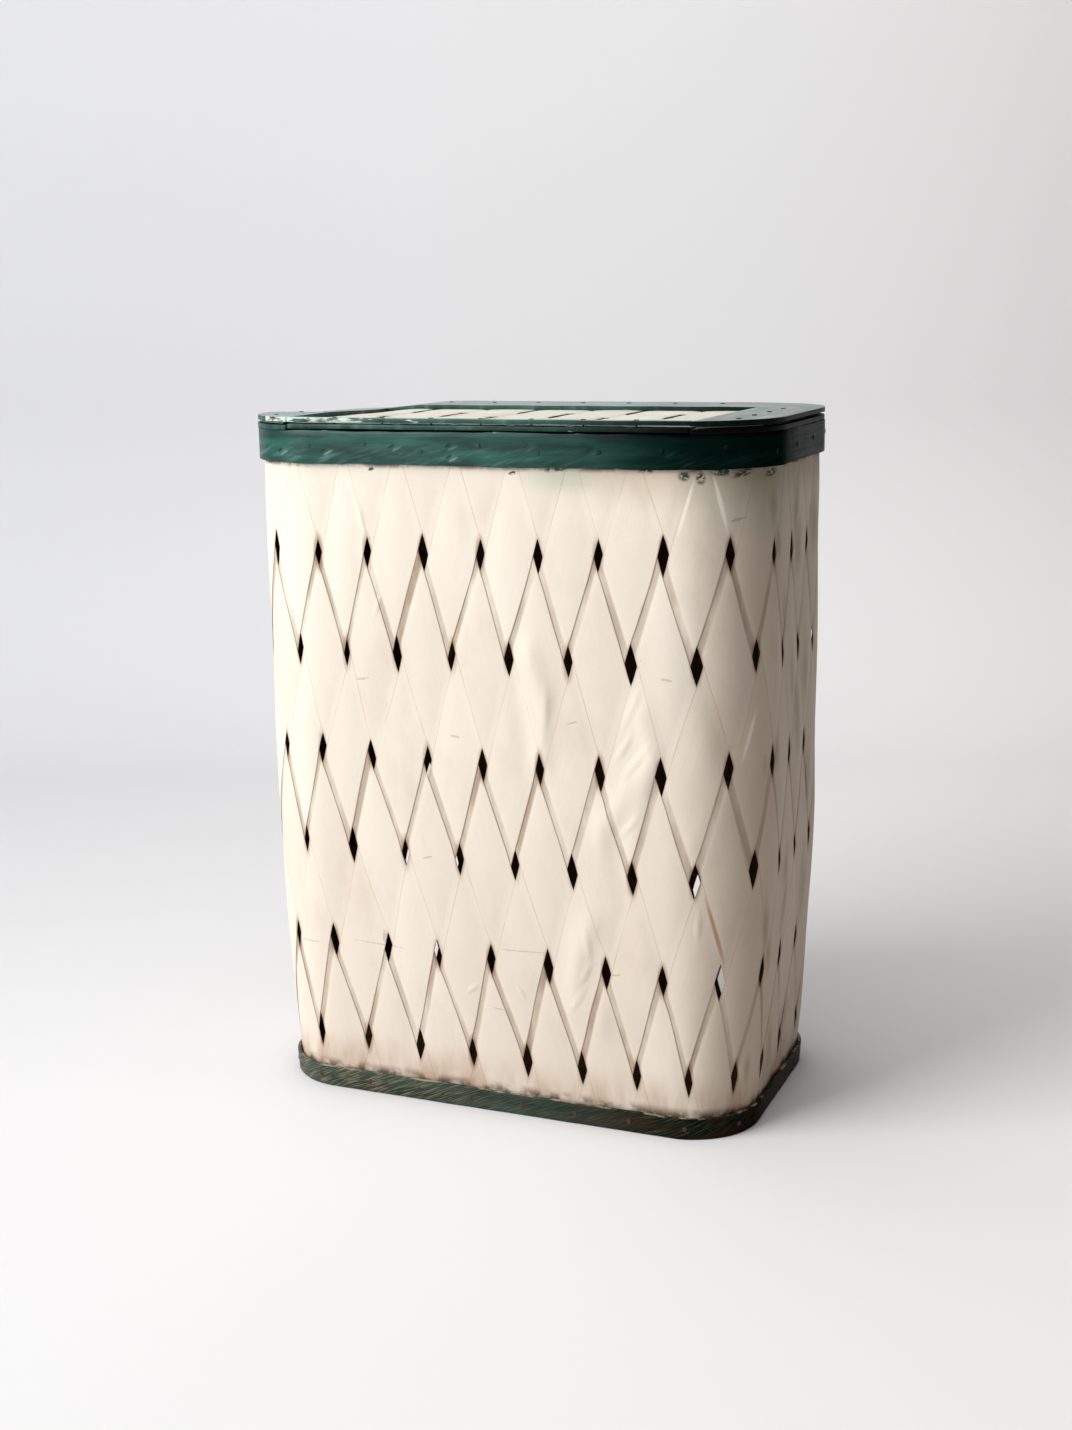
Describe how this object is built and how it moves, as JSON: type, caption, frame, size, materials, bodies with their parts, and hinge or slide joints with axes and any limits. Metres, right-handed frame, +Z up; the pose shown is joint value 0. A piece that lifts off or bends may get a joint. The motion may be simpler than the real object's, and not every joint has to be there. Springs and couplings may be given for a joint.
{
  "type": "hamper basket",
  "caption": "Tall rounded-rectangle laundry hamper of crossed flat wooden splints, with bentwood bands at rim and base and a flat lid hinged along the back.",
  "frame": {"origin": "on the floor, under the middle of the rim outline and of the bottom board", "axes": "+Z up, -Y towards the front face, +X to the right as seen from the front, hinges at +Y"},
  "size_m": [0.5014, 0.2892, 0.6358],
  "materials": {
    "cream_splint": "old cream paint, satin, worn to bare wood at edges",
    "green_board": "brushed teal green gloss paint, chipped",
    "dark_green_band": "dark green gloss paint, scratched, with bare edges",
    "bare_wood": "unpainted, aged",
    "nail_steel": "dull, rusted, partly painted over",
    "hinge_steel": "dull steel with light tarnish"
  },
  "bodies": {
    "basket": {"outer_splints_front": "cream_splint", "outer_splints_right": "cream_splint", "outer_splints_back": "cream_splint", "outer_splints_left": "cream_splint", "inner_splints_front": "cream_splint", "inner_splints_right": "cream_splint", "inner_splints_back": "cream_splint", "inner_splints_left": "cream_splint", "rim_band": "green_board", "rim_inner_hoop": "bare_wood", "base_band": "dark_green_band", "bottom_board": "bare_wood", "rim_nails": "nail_steel", "base_nails": "nail_steel", "hinge_fixed_leaves": "hinge_steel", "hinge_pins": "hinge_steel", "hinge_band_screws": "hinge_steel"},
    "lid": {"lid_lower_left_end": "green_board", "lid_lower_right_end": "green_board", "lid_lower_front_strip": "green_board", "lid_lower_back_strip": "green_board", "lid_upper_left_end": "green_board", "lid_upper_right_end": "green_board", "lid_upper_front_strip": "green_board", "lid_upper_back_strip": "green_board", "lid_long_splints": "cream_splint", "lid_cross_splints": "cream_splint", "lid_nails": "nail_steel", "hinge_lid_leaves": "hinge_steel", "hinge_lid_screws": "hinge_steel"}
  },
  "joints": [
    {"name": "lid_hinge", "type": "hinge", "parent": "basket", "child": "lid", "pos_m": [0, 0.1444, 0.6251], "axis": [-1, 0, 0], "range_deg": [0, 190]}
  ]
}
